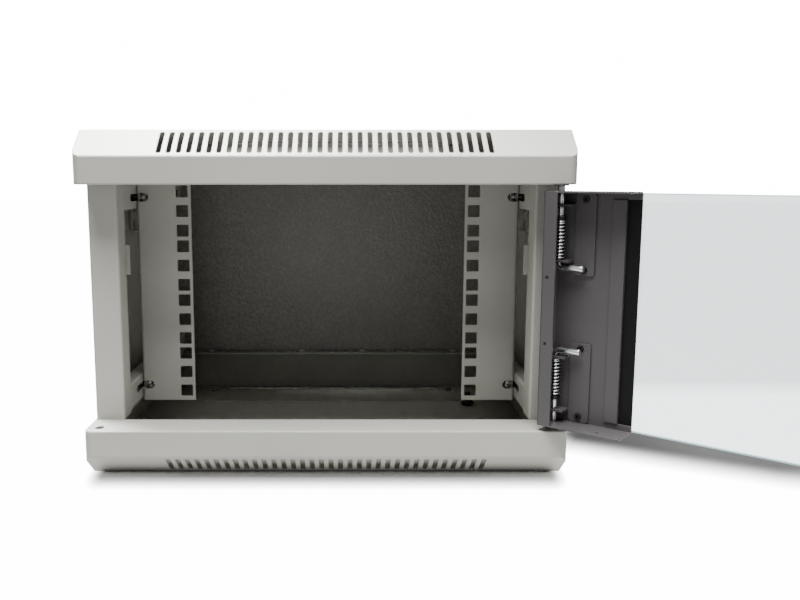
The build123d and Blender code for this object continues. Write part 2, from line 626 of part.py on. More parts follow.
def hinge_bracket():
    """Upper guide bracket: plate with two folded lugs that carry the hinge pin."""
    y0, w, h = FLOOR_Y - PLATE_T, PLATE_A[1] - PLATE_A[0], PLATE_Z[1] - PLATE_Z[0]
    face = Pos(sum(PLATE_A) / 2, MID_Z + PLATE_Z[0] + h / 2) * RectangleRounded(w, h, PLATE_R)
    plate = Pos(0, FLOOR_Y, 0) * extrude(Plane.XZ * face, PLATE_T)
    for near in LUG_Z:
        z = MID_Z + near
        lug = slab(-LUG_OUT, PLATE_A[0] + PLATE_T, -LUG_OUT, FLOOR_Y, z, z + LUG_T)
        lug -= slab(PLATE_A[0], PLATE_A[0] + 2 * PLATE_T, -LUG_OUT - PAST, y0, z - PAST, z + LUG_T + PAST)
        corner = lug.edges().filter_by(Axis.Z).sort_by(Axis.Y)[:2].sort_by(Axis.X)[0]
        plate += fillet(corner, LUG_R)
        plate -= rod_z(0, 0, z - PAST, z + LUG_T + PAST, PIN_D + 2 * PIN_RUN)
    for z in BRACKET_RIVETS:
        plate -= rod_y(sum(PLATE_A) / 2, y0 - PAST, FLOOR_Y + PAST, MID_Z + z, RIVET_D)
    return plate


def bracket_rivets():
    """Four rivets that hold the two guide brackets."""
    x, seat = sum(PLATE_A) / 2, FLOOR_Y - PLATE_T
    end = seat - PLATE_RIVET[1]
    upper = []
    for up in BRACKET_RIVETS:
        z = MID_Z + up
        body = rod_y(x, seat, DOOR_BACK, z, RIVET_D) + rod_y(x, end, seat, z, PLATE_RIVET[0])
        upper.append(body - rod_y(x, end - PAST, end + RIVET_DIMPLE[1], z, RIVET_DIMPLE[0]))
    return Compound(upper + [flip_z(one) for one in upper])


def hinge_pin():
    """Upper hinge pin: round rod bent to a handle at its inner end."""
    top, z = TOP_Z + PIN_REACH, MID_Z + HANDLE_Z
    path = Line((0, 0, top), (0, 0, z + PIN_BEND))
    path += RadiusArc((0, 0, z + PIN_BEND), (PIN_BEND, 0, z), -PIN_BEND)
    path += Line((PIN_BEND, 0, z), (HANDLE_LEN, 0, z))
    body = sweep(Plane((0, 0, top), x_dir=(1, 0, 0), z_dir=(0, 0, -1)) * Circle(PIN_D / 2), path=path)
    ends = body.faces().sort_by(Axis.Z)[-1].edges() + body.faces().sort_by(Axis.X)[-1].edges()
    return chamfer(ends, PIN_BEVEL)


def pin_collar():
    """Spring collar fixed on the upper pin."""
    z = MID_Z + SPRING_END
    ring = rod_z(0, 0, z, z + COLLAR_T, 2 * (SPRING_R + COLLAR_OVER))
    ring += rod_z(0, 0, z + COLLAR_T, z + COLLAR_T + HUB[1], HUB[0])
    return ring - rod_z(0, 0, z - PAST, z + COLLAR_T + HUB[1] + PAST, PIN_D)


def spring():
    """Upper pin spring between the inner lug and the collar."""
    z0 = MID_Z + LUG_Z[0] + LUG_T + SPRING_WIRE / 2
    z1 = MID_Z + SPRING_END - SPRING_WIRE / 2
    path = Pos(0, 0, z0) * Helix((z1 - z0) / SPRING_TURNS, z1 - z0, SPRING_R)
    section = Plane(path @ 0, z_dir=path % 0) * Circle(SPRING_WIRE / 2)
    return sweep(section, path=path, is_frenet=True)


def glass():
    """Glass pane over the whole door face, with ground corners and the lock hole."""
    a0, a1 = -DOOR_EDGE + GLASS_IN, DOOR_W - DOOR_EDGE - GLASS_IN
    h = DOOR_HIGH - DOOR_LOW - 2 * GLASS_SHORT
    face = Pos((a0 + a1) / 2, (DOOR_LOW + DOOR_HIGH) / 2) * RectangleRounded(a1 - a0, h, GLASS_R)
    face -= Pos(LOCK_A, LOCK_Z) * Circle(LOCK_D / 2 + LOCK_IN_GLASS)
    pane = Pos(0, DOOR_FACE, 0) * extrude(Plane.XZ * face, GLASS)
    return chamfer([e for e in pane.edges() if e.length > h / 2], GLASS_BEVEL)


def tape(a0, a1):
    """Black bonding tape between a profile and the glass."""
    return slab(a0, a1, DOOR_BACK, DOOR_BACK + TAPE, DOOR_LOW + TAPE_IN, DOOR_HIGH - TAPE_IN)


def lock_profile():
    """Lock side profile of the door with the lock's hole."""
    end = DOOR_W - DOOR_EDGE
    start = end - PROFILE_W
    body = profile(start, end, end, start + LOCK_HEM + HEM_W, start + LOCK_HEM)
    return body - rod_y(LOCK_A, FLOOR_Y - 2 * SHEET, DOOR_BACK + PAST, LOCK_Z, LOCK_D + 2 * LOCK_RUN)


def lock_tape():
    """Tape behind the lock profile, with a hole for the lock."""
    end = DOOR_W - DOOR_EDGE
    strip = tape(end - PROFILE_W + TAPE_OPEN, end - TAPE_IN)
    return strip - rod_y(LOCK_A, DOOR_BACK - PAST, DOOR_BACK + TAPE + PAST, LOCK_Z, LOCK_D + 2 * LOCK_IN_TAPE)


def lock_barrel():
    """Lock body with a round face outside the glass."""
    body = rod_y(LOCK_A, LOCK_BACK, DOOR_FACE, LOCK_Z, LOCK_D)
    body += rod_y(LOCK_A, DOOR_FACE, DOOR_FACE + LOCK_FACE[1], LOCK_Z, LOCK_D + LOCK_FACE[0])
    body = chamfer(body.faces().sort_by(Axis.Y)[-1].edges(), LOCK_BEVEL)
    return body - rod_y(LOCK_A, LOCK_BACK - PAST, DOOR_FACE + 2 * LOCK_FACE[1], LOCK_Z, CORE_D + 2 * CORE_RUN)


def lock_nut():
    """Flat hexagon nut that clamps the lock body against the profile floor."""
    hexagon = Rot(0, 0, 30) * RegularPolygon(LOCK_NUT[0] / 2, 6, major_radius=False) - Circle(LOCK_D / 2)
    return Pos(0, FLOOR_Y, 0) * extrude(Plane.XZ * Pos(LOCK_A, LOCK_Z) * hexagon, LOCK_NUT[1])


def lock_core():
    """Turning core of the lock with a key slot and a square for the cam."""
    rear, face = LOCK_BACK - CORE_OUT, DOOR_FACE + LOCK_FACE[1] + CORE_OUT
    core = rod_y(LOCK_A, rear, face, LOCK_Z, CORE_D)
    wide, high, deep = KEY_SLOT
    core -= slab(LOCK_A - wide / 2, LOCK_A + wide / 2, face - deep, face + PAST,
                 LOCK_Z - high / 2, LOCK_Z + high / 2)
    half = CAM_SQUARE / 2
    return core + slab(LOCK_A - half, LOCK_A + half, rear - CAM_T, rear, LOCK_Z - half, LOCK_Z + half)


def lock_cam():
    """Cranked cam, drawn unlocked with its hook pointing down."""
    half = CAM_T / 2
    near = LOCK_BACK - CORE_OUT - half
    far = -CAM_HOOK + CAM_TAB_GAP - half
    turn = LOCK_Z - CAM_DROP + half
    path = [(near, LOCK_Z + CAM_W / 2), (near, turn), (far, turn), (far, LOCK_Z - CAM_REACH)]
    cam = Pos(LOCK_A - CAM_W / 2, 0, 0) * extrude(Plane.YZ * folded(path, CAM_T), CAM_W)
    crown = [e for e in cam.edges() if abs(e.center().Z - LOCK_Z - CAM_W / 2) < NEAR and e.length < 2 * CAM_T]
    cam = fillet(crown, CAM_W / 2 - CAM_CROWN)
    side = CAM_SQUARE / 2
    return cam - slab(LOCK_A - side, LOCK_A + side, near - CAM_T, near + CAM_T, LOCK_Z - side, LOCK_Z + side)


def lock_cam_screw():
    """Screw that holds the cam on the core."""
    y = LOCK_BACK - CORE_OUT - CAM_T
    width, reach, _ = RECESS
    screw = rod_y(LOCK_A, y - CAM_SCREW[1], y, LOCK_Z, CAM_SCREW[0])
    return screw - slab(LOCK_A - reach, LOCK_A + reach, y - 2 * CAM_SCREW[1], y - CAM_SCREW[1] / 2,
                        LOCK_Z - width, LOCK_Z + width)


# Assembly

def build_cabinet():
    """Covers, frame, panels and rails."""
    low = cover()
    plate, screws, bush = entry_plate(), entry_screws(), bushing()
    stud, washer, nut = earth_parts()
    NODES.update({
        "bottom_cover": low, "top_cover": flip_z(low),
        "entry_plate_bottom": plate, "entry_plate_top": flip_z(plate),
        "entry_screws_bottom": screws, "entry_screws_top": flip_z(screws),
        "hinge_bushings": Compound([bush, flip_z(bush)]),
        "rear_panel": rear_panel(), "seam_rivets": seam_rivets(), "post_rivets": post_rivets(),
        "earth_stud": stud, "earth_washer": washer, "earth_nut": nut,
    })
    lower = channel()
    rights = {
        "post": post(), "side_channel_lower": lower, "side_channel_upper": flip_z(lower),
        "side_panel": side_panel(), "panel_latch": latch(), "latch_rivets": latch_rivets(),
        "rack_rail": rail(), "rail_screws": rail_screws(), "rail_nuts": rail_nuts(),
    }
    for name, part in rights.items():
        NODES[name + "_right"] = part
        NODES[name + "_left"] = mirror_x(part)


def build_door():
    """Door parts, moved from the door frame to the photographed place."""
    pin, ring, coil, guide = hinge_pin(), pin_collar(), spring(), hinge_bracket()
    door = {
        "door_hinge_profile": hinge_profile(), "door_lock_profile": lock_profile(), "door_glass": glass(),
        "hinge_side_tape": tape(-DOOR_EDGE + TAPE_IN, PROFILE_W - DOOR_EDGE - TAPE_OPEN),
        "lock_side_tape": lock_tape(), "bracket_rivets": bracket_rivets(),
        "hinge_bracket_upper": guide, "hinge_bracket_lower": flip_z(guide),
        "hinge_pin_upper": pin, "hinge_pin_lower": flip_z(pin),
        "pin_collar_upper": ring, "pin_collar_lower": flip_z(ring),
        "pin_spring_upper": coil, "pin_spring_lower": flip_z(coil),
        "lock_barrel": lock_barrel(), "lock_nut": lock_nut(), "lock_core": lock_core(),
        "lock_cam": lock_cam(), "lock_cam_screw": lock_cam_screw(),
    }
    for name, part in door.items():
        NODES[name] = DOOR_PLACE * part


if __name__ == "__main__":
    build_cabinet()
    build_door()
    os.makedirs("parts", exist_ok=True)
    for name, part in sorted(NODES.items()):
        export_step(part, "parts/" + name + ".step")
        box = part.bounding_box()
        print(name, len(part.solids()), [round(v, 1) for v in (*box.min, *box.max)])
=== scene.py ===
"""Looks of a small wall mount network cabinet: finishes, fine pieces, studio and camera.

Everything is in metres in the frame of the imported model: +Z up, +Y towards the wall,
the origin on the resting surface at the middle of the body in plan.
"""

import logging
import math
from dataclasses import dataclass, field
from enum import Enum
from typing import Any, Mapping, Optional, Sequence, Union

import bpy
import numpy as np
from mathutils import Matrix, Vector

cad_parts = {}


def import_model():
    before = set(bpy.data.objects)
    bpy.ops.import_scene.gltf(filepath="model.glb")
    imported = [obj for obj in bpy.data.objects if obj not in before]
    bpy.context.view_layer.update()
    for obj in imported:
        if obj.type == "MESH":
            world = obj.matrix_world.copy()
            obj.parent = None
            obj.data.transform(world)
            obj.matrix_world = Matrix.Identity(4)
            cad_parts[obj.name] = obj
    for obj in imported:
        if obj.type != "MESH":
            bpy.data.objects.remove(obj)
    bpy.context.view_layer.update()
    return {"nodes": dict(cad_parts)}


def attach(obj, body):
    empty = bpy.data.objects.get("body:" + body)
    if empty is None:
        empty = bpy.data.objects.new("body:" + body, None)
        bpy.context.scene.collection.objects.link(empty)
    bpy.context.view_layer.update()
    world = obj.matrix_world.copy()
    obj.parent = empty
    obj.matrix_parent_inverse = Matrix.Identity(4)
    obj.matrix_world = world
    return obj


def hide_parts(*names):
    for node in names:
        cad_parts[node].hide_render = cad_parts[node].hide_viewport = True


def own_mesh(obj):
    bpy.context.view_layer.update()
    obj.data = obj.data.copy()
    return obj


LOG = logging.getLogger("cabinet")
Number = Union[int, float]
Colour = tuple[float, float, float]
Place = tuple[float, float, float]


# Shader graph

class Socket:
    """A shader output on which Python arithmetic adds Math nodes."""

    def __init__(self, graph: "Graph", link: bpy.types.NodeSocket) -> None:
        """Wraps one output of a graph."""
        self.graph = graph
        self.link = link

    def _math(self, operation: str, *values: Union["Socket", Number]) -> "Socket":
        """Adds one Math node.

        Args:
            operation: the Math node's operation.
            values: its inputs in order.

        Returns:
            The node's result.
        """
        return self.graph.node("ShaderNodeMath", {"operation": operation}, dict(enumerate(values)))

    def __add__(self, other: Union["Socket", Number]) -> "Socket":
        """Sum."""
        return self._math("ADD", self, other)

    def __radd__(self, other: Number) -> "Socket":
        """Sum with a number on the left."""
        return self._math("ADD", other, self)

    def __sub__(self, other: Union["Socket", Number]) -> "Socket":
        """Difference."""
        return self._math("SUBTRACT", self, other)

    def __rsub__(self, other: Number) -> "Socket":
        """Difference from a number on the left."""
        return self._math("SUBTRACT", other, self)

    def __mul__(self, other: Union["Socket", Number]) -> "Socket":
        """Product."""
        return self._math("MULTIPLY", self, other)

    def __rmul__(self, other: Number) -> "Socket":
        """Product with a number on the left."""
        return self._math("MULTIPLY", other, self)

    def __pow__(self, other: Union["Socket", Number]) -> "Socket":
        """Power."""
        return self._math("POWER", self, other)

    def least(self, other: Union["Socket", Number]) -> "Socket":
        """The smaller of two values."""
        return self._math("MINIMUM", self, other)

    def most(self, other: Union["Socket", Number]) -> "Socket":
        """The larger of two values."""
        return self._math("MAXIMUM", self, other)

    def size(self) -> "Socket":
        """Value without its sign."""
        return self._math("ABSOLUTE", self)

    def ramp(self, low: float, high: float) -> "Socket":
        """0 at low, 1 at high, straight between them and level outside."""
        return self.graph.node(
            "ShaderNodeMapRange", {"clamp": True}, {"Value": self, "From Min": low, "From Max": high}
        )


class Graph:
    """A node tree of a material or of the world."""

    def __init__(self, tree: bpy.types.NodeTree) -> None:
        """Empties a tree and takes it over."""
        self.tree = tree
        self.tree.nodes.clear()

    def node(
        self,
        kind: str,
        settings: Optional[Mapping[str, Any]] = None,
        values: Optional[Mapping[Union[int, str], Any]] = None,
        out: Union[int, str] = 0,
    ) -> Optional[Socket]:
        """Adds one node of any kind.

        Args:
            kind: the node's type.
            settings: its properties, set first.
            values: a value or a Socket for each input, by place or by name.
            out: which output to give back.

        Returns:
            That output as a Socket, or None for a node without outputs.
        """
        made = self.tree.nodes.new(kind)
        for key, value in (settings or {}).items():
            setattr(made, key, value)
        for key, value in (values or {}).items():
            self.feed(made.inputs[key], value)
        return Socket(self, made.outputs[out]) if made.outputs else None

    def feed(self, target: bpy.types.NodeSocket, value: Any) -> None:
        """Links a Socket to an input, or sets the input's own value."""
        if isinstance(value, Socket):
            self.tree.links.new(value.link, target)
        else:
            target.default_value = value

    def place(self) -> Socket:
        """Object coordinates, in metres in the cabinet's frame."""
        return self.node("ShaderNodeTexCoord", out="Object")

    def axis(self, name: str) -> Socket:
        """One of the three Object coordinates."""
        return self.node("ShaderNodeSeparateXYZ", values={0: self.place()}, out=name)

    def noise(
        self, scale: float, detail: float = 2.0, roughness: float = 0.5, stretch: Colour = (1, 1, 1),
    ) -> Socket:
        """Noise on Object coordinates.

        Args:
            scale: cells per metre.
            detail: number of octaves.
            roughness: weight of the finer octaves.
            stretch: factor on each axis before the noise.

        Returns:
            The noise, about 0.5 on average.
        """
        at = self.place()
        if stretch != (1, 1, 1):
            at = self.node("ShaderNodeMapping", values={"Vector": at, "Scale": stretch})
        values = {"Vector": at, "Scale": scale, "Detail": detail, "Roughness": roughness}
        return self.node("ShaderNodeTexNoise", values=values)

    def mix(self, factor: Union[Socket, float], a: Any, b: Any) -> Socket:
        """Colour a where factor is 0 and colour b where it is 1."""
        first, second = (end if isinstance(end, Socket) else (*end, 1.0) for end in (a, b))
        return self.node("ShaderNodeMix", {"data_type": "RGBA"}, {0: factor, 6: first, 7: second}, out=2)

    def bump(
        self, height: Socket, strength: float, distance: float, normal: Optional[Socket] = None,
    ) -> Socket:
        """Bump from a height.

        Args:
            height: the height, 0 to 1.
            strength: how much of it shows.
            distance: the height's scale, in metres.
            normal: another bump under this one.

        Returns:
            The normal.
        """
        values: dict[Union[int, str], Any] = {"Strength": strength, "Distance": distance, "Height": height}
        if normal is not None:
            values["Normal"] = normal
        return self.node("ShaderNodeBump", values=values)


class SurfaceGraph(Graph):
    """The node tree of one material with a Principled surface."""

    def __init__(self, name: str) -> None:
        """Makes the material, its output and its Principled node."""
        self.material = bpy.data.materials.new(name)
        self.material.use_nodes = True
        super().__init__(self.material.node_tree)
        self.surface = self.tree.nodes.new("ShaderNodeBsdfPrincipled")
        self.node("ShaderNodeOutputMaterial", values={"Surface": Socket(self, self.surface.outputs[0])})

    def set(self, **values: Any) -> None:
        """Feeds inputs of the Principled node; an underscore in a name stands for a space."""
        for name, value in values.items():
            self.feed(self.surface.inputs[name.replace("_", " ")], value)


def scaled(colour: Colour, factor: float) -> Colour:
    """A colour made lighter or darker by a factor."""
    return (colour[0] * factor, colour[1] * factor, colour[2] * factor)


# Finishes

@dataclass(frozen=True)
class PowderCoat:
    """Textured powder coat: an even paint with a fine orange peel, faint clouding and a few dark pits.

    Its colour is lowered in recesses, away from the front faces, as painted shade, because the
    photograph's recesses are darker than the studio's light leaves them.
    """

    name: str
    colour: Colour
    roughness: float = 0.46
    peel_scale: float = 620.0
    peel_depth: float = 0.00009
    peel_strength: float = 0.35
    clouding: float = 0.05
    speckle: float = 0.08
    edge_radius: float = 0.0005
    # reach of the occlusion, tone of the painted shade in recesses, and the depths near the front kept free
    # of it
    recess: float = 0.06
    painted_shade_tone: float = 0.43
    open_front: tuple[float, float] = (-0.112, -0.122)

    def build(self) -> bpy.types.Material:
        """Makes the material.

        Returns:
            The material: noise of two sizes varies colour and roughness, a third makes the peel,
            a small bevel rounds the sheet's edges, and an occlusion node finds the recesses, whose colour
            it darkens as painted shade.
        """
        graph = SurfaceGraph(self.name)
        cloud = graph.noise(9.0, 3.0)
        grain = graph.noise(2600.0, 1.0)
        low, high = scaled(self.colour, 1 - self.clouding), scaled(self.colour, 1 + self.clouding)
        tone = graph.mix(cloud.ramp(0.3, 0.7), low, high)
        pits = graph.mix(grain.ramp(0.62, 0.75) * self.speckle, tone, scaled(self.colour, 0.45))
        # painted shade: the colour is darkened where the occlusion node finds a recess, except near the
        # front faces
        near = graph.node("ShaderNodeAmbientOcclusion", {"samples": 6}, {"Distance": self.recess}, out="AO")
        open_air = near.ramp(0.1, 0.85).most(graph.axis("Y").ramp(*self.open_front))
        coat = graph.mix(open_air, scaled(self.colour, self.painted_shade_tone), pits)
        peel = graph.noise(self.peel_scale, 2.0, 0.45)
        soft = graph.node("ShaderNodeBevel", {"samples": 4}, {"Radius": self.edge_radius})
        graph.set(
            Base_Color=coat,
            Roughness=self.roughness + 0.12 * (peel - 0.5) + 0.06 * (cloud - 0.5),
            Normal=graph.bump(peel, self.peel_strength, self.peel_depth, soft),
            Specular_IOR_Level=0.42,
        )
        return graph.material


@dataclass(frozen=True)
class HammeredCoat:
    """Paint with a coarse hammered texture; the rear panel's inner face takes a much darker
    colour, which is painted shade for the cabinet's dark inside.

    The inner colour is matched to the photograph's dark inside.
    """

    name: str
    colour: Colour
    # colour of the inner face, darkened as painted shade
    inner: Colour
    face_y: float
    roughness: float = 0.27
    cell: float = 330.0
    depth: float = 0.0004

    def build(self) -> bpy.types.Material:
        """Makes the material.

        Returns:
            The material: smooth cell noise with soft rims gives the dimples, and the distance from
            the wall tells the inner face, which takes the darker colour as painted shade.
        """
        graph = SurfaceGraph(self.name)
        inside = graph.axis("Y").ramp(self.face_y + 0.0001, self.face_y - 0.0001)
        coarse = graph.noise(self.cell, 3.0, 0.6)
        fine = graph.noise(self.cell * 3.1, 2.0)
        under = graph.bump(fine, 0.3, self.depth * 0.3)
        graph.set(
            # the inner face's much darker colour is painted shade
            Base_Color=graph.mix(coarse.ramp(0.35, 0.7) * 0.12, graph.mix(inside, self.colour, self.inner),
                                 scaled(self.colour, 1.2)),
            Roughness=self.roughness + 0.15 * (fine - 0.5),
            Normal=graph.bump(coarse.ramp(0.38, 0.66), 0.6, self.depth, under),
        )
        return graph.material


@dataclass(frozen=True)
class PlatedSteel:
    """Plated or bare steel with drawn or machined marks, and painted shade in narrow gaps."""

    name: str
    colour: Colour
    roughness: float
    marks: float = 900.0
    mark_depth: float = 0.00002
    stretch: Colour = (1.0, 1.0, 0.12)
    stain: float = 0.12
    # reach of the occlusion that finds narrow gaps, and the tone of the painted shade in them
    gap: float = 0.003
    painted_gap_shade_tone: float = 0.1

    def build(self) -> bpy.types.Material:
        """Makes the material.

        Returns:
            The material: stretched noise makes the marks and a slow noise the stains, and an
            occlusion node darkens narrow gaps, such as those between a spring's coils, as painted shade.
        """
        graph = SurfaceGraph(self.name)
        marks = graph.noise(self.marks, 2.0, 0.6, self.stretch)
        stain = graph.noise(70.0, 3.0)
        # painted shade: the colour is darkened in narrow gaps, such as between a spring's coils
        near = graph.node("ShaderNodeAmbientOcclusion", {"samples": 6}, {"Distance": self.gap}, out="AO")
        worn = graph.mix(stain.ramp(0.4, 0.75) * self.stain, self.colour, scaled(self.colour, 0.55))
        graph.set(
            Base_Color=graph.mix(near.ramp(0.6, 0.9), scaled(self.colour, self.painted_gap_shade_tone), worn),
            Metallic=1.0,
            Roughness=self.roughness + 0.16 * (marks - 0.5) + 0.1 * (stain - 0.5),
            Normal=graph.bump(marks, 0.4, self.mark_depth),
        )
        return graph.material


@dataclass(frozen=True)
class FoamTape:
    """Black bonding tape with a fine grain, its face slightly shiny where the glass wets it."""

    name: str
    colour: Colour
    roughness: float = 0.5

    def build(self) -> bpy.types.Material:
        """Makes the material: cell noise darkens and dents the tape."""
        graph = SurfaceGraph(self.name)
        cells = graph.noise(1500.0, 2.0, 0.7)
        graph.set(
            Base_Color=graph.mix(cells, scaled(self.colour, 0.7), scaled(self.colour, 1.35)),
            Roughness=self.roughness + 0.1 * (cells - 0.5),
            Normal=graph.bump(cells, 0.4, 0.00008),
            Specular_IOR_Level=0.15,
        )
        return graph.material


@dataclass(frozen=True)
class GlassPane:
    """Clear pane with a faint blue-grey tint, deeper at its ground edges, and a few smears."""

    name: str
    colour: Colour
    edge: Colour
    low: float
    high: float
    rim: float = 0.0012

    def build(self) -> bpy.types.Material:
        """Makes the material.

        Returns:
            The material: the height above the floor finds the pane's upper and lower edges, which
            are tinted more deeply, and slow noise varies how sharply the pane mirrors.
        """
        graph = SurfaceGraph(self.name)
        smear = graph.noise(14.0, 4.0, 0.6, (1.0, 1.0, 0.35))
        height = graph.axis("Z")
        edge = (height - self.low).least(self.high - height).ramp(self.rim, 0.4 * self.rim)
        body = graph.mix(smear, scaled(self.colour, 0.985), scaled(self.colour, 1.0))
        graph.set(
            Base_Color=graph.mix(edge, body, self.edge),
            Roughness=0.01 + 0.03 * smear.ramp(0.5, 0.8),
            Transmission_Weight=1.0,
            IOR=1.5,
        )
        return graph.material


class Finish(Enum):
    """Every finish used on the cabinet."""

    BODY = PowderCoat("light_grey_powder_coat", (0.51, 0.505, 0.455))
    # the rear panel: its inner face's colour, about a third of the outer one, is painted shade
    INNER = HammeredCoat("light_grey_hammered_coat", (0.51, 0.505, 0.455), (0.175, 0.170, 0.150), 0.1394)
    # the rails' colour is set darker than the covers' because they look darker than the lights alone make
    # them: painted shade
    RAIL = PowderCoat("rail_powder_coat", (0.445, 0.44, 0.397), painted_shade_tone=0.6)
    DOOR = PowderCoat(
        "dark_grey_powder_coat", (0.080, 0.074, 0.076),
        roughness=0.42, clouding=0.08, speckle=0.2, painted_shade_tone=0.72,
    )
    BRIGHT = PlatedSteel("bright_plating", (0.86, 0.87, 0.88), 0.2)
    ZINC = PlatedSteel("zinc_steel", (0.58, 0.58, 0.57), 0.24, mark_depth=0.00004)
    BLACKENED = PlatedSteel("blackened_steel", (0.05, 0.05, 0.052), 0.4)
    TAPE = FoamTape("black_tape", (0.005, 0.005, 0.0055))
    GLASS = GlassPane("clear_glass", (0.90, 0.945, 0.97), (0.35, 0.55, 0.58), 0.0444, 0.2116)


class Workshop:
    """Builds each finish once and puts finishes on objects."""

    def __init__(self) -> None:
        """Starts with no material made."""
        self.made: dict[Finish, bpy.types.Material] = {}

    def material(self, finish: Finish) -> bpy.types.Material:
        """Gives a finish's material, made at its first use."""
        if finish not in self.made:
            self.made[finish] = finish.value.build()
        return self.made[finish]

    def dress(self, obj: bpy.types.Object, finish: Finish) -> None:
        """Puts one finish on all of an object."""
        if not obj.material_slots:
            obj.data.materials.append(self.material(finish))
        for slot in obj.material_slots:
            slot.material = self.material(finish)
        LOG.info("%s: %s", obj.name, finish.name.lower())


# Mesh building

def mesh_object(
    name: str,
    points: np.ndarray,
    faces: np.ndarray,
    smooth: bool = True,
    caps: Sequence[Sequence[int]] = (),
) -> bpy.types.Object:
    """Puts arrays of points and quads into a new object at the origin.

    Args:
        name: the object's name.
        points: n by 3 places in metres.
        faces: m by 4 point numbers.
        smooth: whether the quads are shaded smooth.
        caps: flat faces with more sides that close the ends.

    Returns:
        The object, linked to the scene.
    """
    mesh = bpy.data.meshes.new(name)
    mesh.from_pydata(points.tolist(), [], faces.tolist() + [list(cap) for cap in caps])
    shading = np.arange(len(mesh.polygons)) < len(faces)
    mesh.polygons.foreach_set("use_smooth", shading & smooth)
    mesh.update()
    made = bpy.data.objects.new(name, mesh)
    bpy.context.scene.collection.objects.link(made)
    LOG.info("%s: %d points", name, len(points))
    return made


def grid_faces(rows: int, columns: int, closed: bool) -> np.ndarray:
    """Quads of a grid of points, row after row.

    Args:
        rows: number of rows.
        columns: points in a row.
        closed: whether each row closes on itself.

    Returns:
        m by 4 point numbers.
    """
    row = np.arange(rows - 1)[:, None]
    column = np.arange(columns if closed else columns - 1)[None, :]
    after = (column + 1) % columns
    near, far = row * columns, (row + 1) * columns
    return np.stack([near + column, near + after, far + after, far + column], axis=-1).reshape(-1, 4)


@dataclass
class Shell:
    """Points and faces of one or more closed forms that become one object."""

    points: list[np.ndarray] = field(default_factory=list)
    faces: list[np.ndarray] = field(default_factory=list)
    caps: list[list[int]] = field(default_factory=list)
    count: int = 0

    def add(self, rings: np.ndarray, loop: bool = False) -> "Shell":
        """Adds rings of points that follow one another, anticlockwise seen from the last one.

        Args:
            rings: rows by columns by 3 places.
            loop: whether the last ring joins the first; else flat faces close both ends.

        Returns:
            The shell itself.
        """
        rows, columns = rings.shape[:2]
        wrapped = rows + 1 if loop else rows
        faces = grid_faces(wrapped, columns, closed=True) % (rows * columns)
        self.points.append(rings.reshape(-1, 3))
        self.faces.append(faces + self.count)
        if not loop:
            ends = np.arange(columns)[::-1], np.arange(columns) + (rows - 1) * columns
            self.caps.extend((end + self.count).tolist() for end in ends)
        self.count += rows * columns
        return self

    def build(self, name: str, smooth: bool = True) -> bpy.types.Object:
        """Makes the object."""
        return mesh_object(name, np.concatenate(self.points), np.concatenate(self.faces), smooth, self.caps)


def tube_rings(
    path: np.ndarray, radius: np.ndarray, sides: int, across: Optional[np.ndarray] = None,
) -> np.ndarray:
    """Carries a circle of changing radius along a path.

    The ring at each path point is path + radius * (cos(t) * across + sin(t) * over), where across
    and over are unit vectors square to the path's direction. Without a given across it is the
    level direction square to the path.

    Args:
        path: n by 3 points.
        radius: the radius at each.
        sides: points in a ring.
        across: one direction square to a path that lies in a plane.

    Returns:
        n by sides by 3 places.
    """
    ahead = np.gradient(path, axis=0)
    ahead /= np.linalg.norm(ahead, axis=1, keepdims=True)
    if across is None:
        across = np.cross(np.array([0.0, 0.0, 1.0]), ahead)
    across = np.broadcast_to(across, ahead.shape)
    across = across / np.linalg.norm(across, axis=1, keepdims=True)
    over = np.cross(ahead, across)
    turn = np.linspace(0, 2 * math.pi, sides, endpoint=False)[None, :, None]
    wide = np.asarray(radius)[:, None, None]
    return path[:, None] + wide * (np.cos(turn) * across[:, None] + np.sin(turn) * over[:, None])


def turned_rings(centre: Place, radius: np.ndarray, height: np.ndarray, turn: np.ndarray) -> np.ndarray:
    """Points of a form round an upright axis.

    A point is centre + (radius * cos(turn), radius * sin(turn), height); radius and height have
    a row for each ring and may change along it.

    Args:
        centre: the axis and the height from which height counts.
        radius: rows by columns.
        height: rows by columns.
        turn: the angle of each column.

    Returns:
        rows by columns by 3 places.
    """
    radius, height = np.broadcast_arrays(radius, height)
    x = centre[0] + radius * np.cos(turn)
    y = centre[1] + radius * np.sin(turn)
    return np.stack([x, y, centre[2] + height], axis=-1)


# Sub-assemblies

@dataclass
class CabinetShell:
    """The fixed cabinet: covers, panels, posts, channels and their fasteners."""

    shop: Workshop
    painted: tuple[str, ...] = (
        "bottom_cover", "top_cover", "entry_plate_bottom", "entry_plate_top", "post_rivets", "seam_rivets",
    )
    painted_pairs: tuple[str, ...] = (
        "post", "side_panel", "side_channel_lower", "side_channel_upper", "latch_rivets", "panel_latch",
    )
    zinc: tuple[str, ...] = ("hinge_bushings", "entry_screws_bottom", "entry_screws_top")

    def dress(self, nodes: Mapping[str, bpy.types.Object]) -> None:
        """Puts the finishes on the shell's nodes."""
        pairs = tuple(name + side for name in self.painted_pairs for side in ("_left", "_right"))
        for names, finish in (
            (self.painted + pairs, Finish.BODY), (self.zinc, Finish.ZINC), (("rear_panel",), Finish.INNER),
        ):
            for name in names:
                self.shop.dress(nodes[name], finish)


@dataclass
class RackRails:
    """The two rails with their screws and nuts."""

    shop: Workshop

    def dress(self, nodes: Mapping[str, bpy.types.Object]) -> None:
        """Puts the finishes on the rails."""
        for side in ("left", "right"):
            self.shop.dress(nodes["rack_rail_" + side], Finish.RAIL)
            self.shop.dress(nodes["rail_screws_" + side], Finish.ZINC)
            self.shop.dress(nodes["rail_nuts_" + side], Finish.ZINC)


